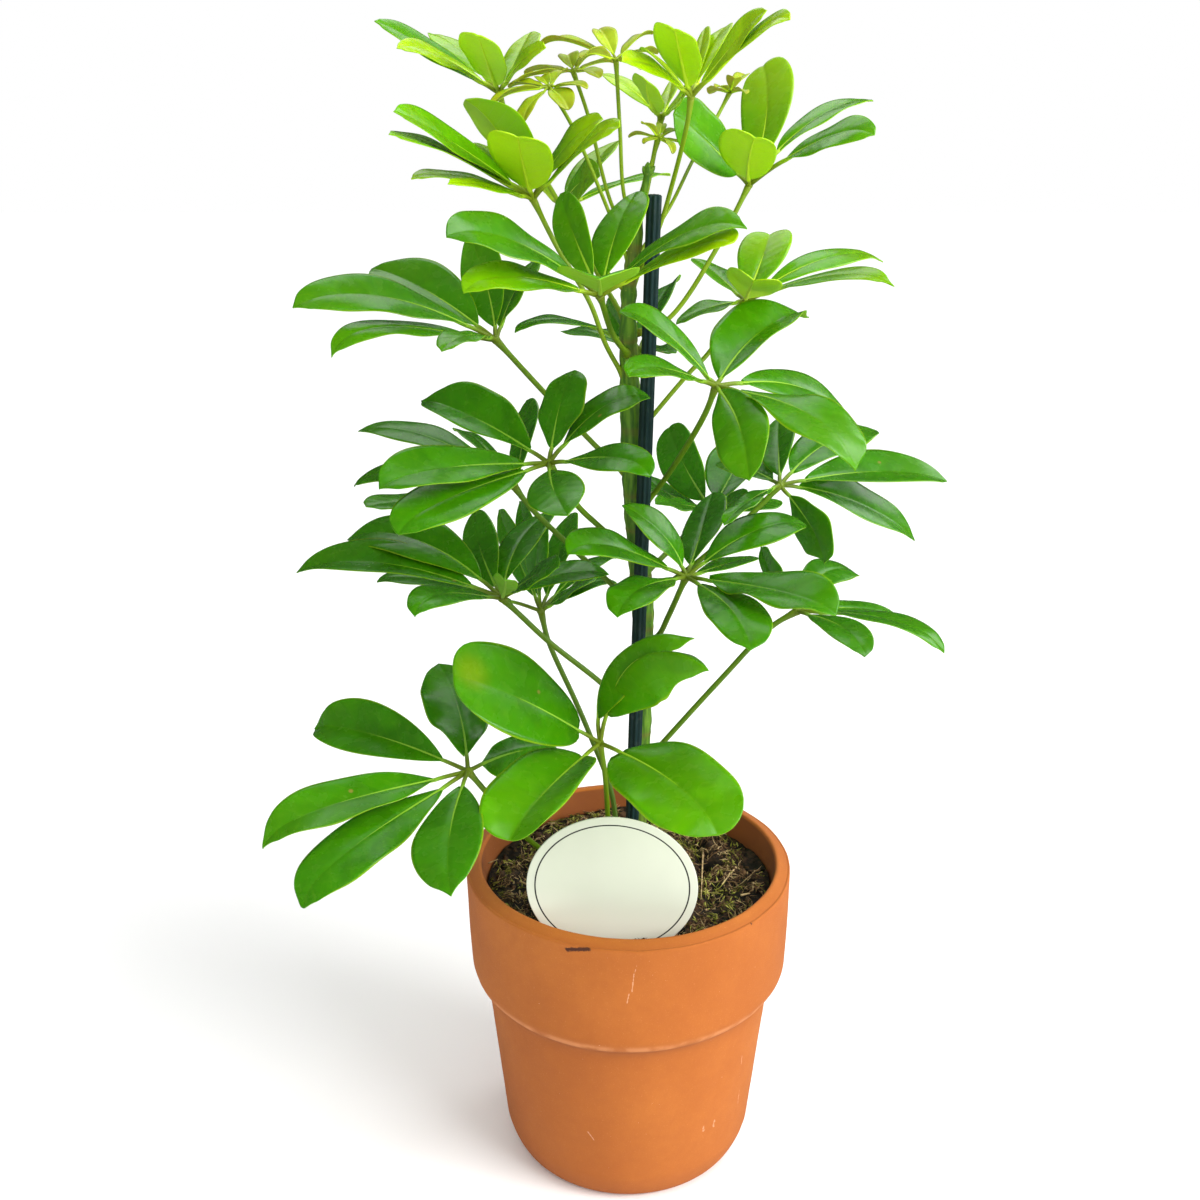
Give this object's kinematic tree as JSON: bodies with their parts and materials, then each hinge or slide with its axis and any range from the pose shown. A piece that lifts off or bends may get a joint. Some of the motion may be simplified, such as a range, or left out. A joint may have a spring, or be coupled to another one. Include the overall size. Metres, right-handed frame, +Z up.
{
  "type": "potted umbrella plant",
  "caption": "Umbrella plant with fans of glossy oval leaflets on thin stalks, beside a slim support stake, in a terracotta pot of dark soil with an oval label card.",
  "frame": {"origin": "centre of the pot's foot, on the surface that it stands on", "axes": "+Z up along the pot's axis, +X to the right and +Y to the back, seen from the side where the label card stands"},
  "size_m": [0.2751, 0.2532, 0.4908],
  "materials": {
    "terracotta": "matt fired clay",
    "soil": "loose fibrous peat",
    "stake": "ribbed satin plastic",
    "card": "satin printed card",
    "stem": "smooth green bark with leaf scars",
    "leaf": "glossy waxy leaf",
    "young_leaf": "soft satin young leaf"
  },
  "bodies": {
    "root": {"pot": "terracotta", "soil": "soil", "stake": "stake", "label_card": "card", "stem": "stem", "leaf_low_left": "leaf", "leaf_low_front": "leaf", "leaf_left_front": "leaf", "leaf_left_back": "leaf", "leaf_mid_left_front": "leaf", "leaf_mid_left_back": "leaf", "leaf_upper_left": "leaf", "leaf_upper_front": "leaf", "leaf_high_left": "leaf", "leaf_high_back": "leaf", "leaf_top_left": "leaf", "leaf_top_right": "leaf", "leaf_top_back": "leaf", "leaf_high_right": "leaf", "leaf_mid_right_back": "leaf", "leaf_mid_right_front": "leaf", "leaf_right": "leaf", "leaf_low_right_front": "leaf", "leaf_low_right_back": "leaf", "leaf_mid_back": "leaf", "leaf_upper_back": "leaf", "young_leaf_left": "young_leaf", "young_leaf_middle": "young_leaf", "young_leaf_top": "young_leaf", "young_leaf_low": "young_leaf", "young_leaf_right": "young_leaf"}
  },
  "joints": []
}
